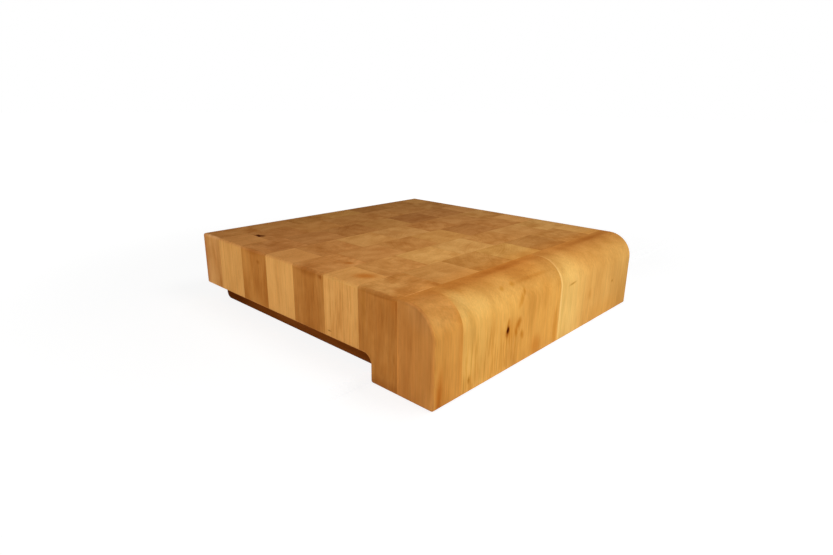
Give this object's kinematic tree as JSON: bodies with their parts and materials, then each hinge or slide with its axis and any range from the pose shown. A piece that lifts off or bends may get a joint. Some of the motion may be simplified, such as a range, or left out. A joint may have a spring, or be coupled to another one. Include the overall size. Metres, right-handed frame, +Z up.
{
  "type": "chopping block",
  "caption": "Thick end-grain wood chopping block with a rounded front lip that hooks over a worktop's edge, and a runner under each side behind the lip.",
  "frame": {"origin": "under the middle of the block, level with the foot of the lip", "axes": "+Z up, +X to the right along the lip, +Y from the lip towards the back of the block"},
  "size_m": [0.45, 0.45, 0.107],
  "materials": {
    "block_wood": "oiled, matte",
    "runner_wood": "oiled, matte",
    "steel": "zinc plated"
  },
  "bodies": {
    "root": {"front_board_1": "block_wood", "front_board_2": "block_wood", "front_board_3": "block_wood", "row_2_block_1": "block_wood", "row_2_block_2": "block_wood", "row_2_block_3": "block_wood", "row_2_block_4": "block_wood", "row_2_block_5": "block_wood", "row_2_block_6": "block_wood", "row_2_block_7": "block_wood", "row_3_block_1": "block_wood", "row_3_block_2": "block_wood", "row_3_block_3": "block_wood", "row_3_block_4": "block_wood", "row_3_block_5": "block_wood", "row_3_block_6": "block_wood", "row_3_block_7": "block_wood", "row_4_block_1": "block_wood", "row_4_block_2": "block_wood", "row_4_block_3": "block_wood", "row_4_block_4": "block_wood", "row_4_block_5": "block_wood", "row_4_block_6": "block_wood", "row_4_block_7": "block_wood", "row_5_block_1": "block_wood", "row_5_block_2": "block_wood", "row_5_block_3": "block_wood", "row_5_block_4": "block_wood", "row_5_block_5": "block_wood", "row_5_block_6": "block_wood", "row_5_block_7": "block_wood", "row_6_block_1": "block_wood", "row_6_block_2": "block_wood", "row_6_block_3": "block_wood", "row_6_block_4": "block_wood", "row_6_block_5": "block_wood", "row_6_block_6": "block_wood", "row_6_block_7": "block_wood", "row_7_block_1": "block_wood", "row_7_block_2": "block_wood", "row_7_block_3": "block_wood", "row_7_block_4": "block_wood", "row_7_block_5": "block_wood", "row_7_block_6": "block_wood", "row_7_block_7": "block_wood", "row_8_block_1": "block_wood", "row_8_block_2": "block_wood", "row_8_block_3": "block_wood", "row_8_block_4": "block_wood", "row_8_block_5": "block_wood", "row_8_block_6": "block_wood", "row_8_block_7": "block_wood", "left_runner": "runner_wood", "right_runner": "runner_wood", "runner_screws": "steel", "runner_washers": "steel"}
  },
  "joints": []
}
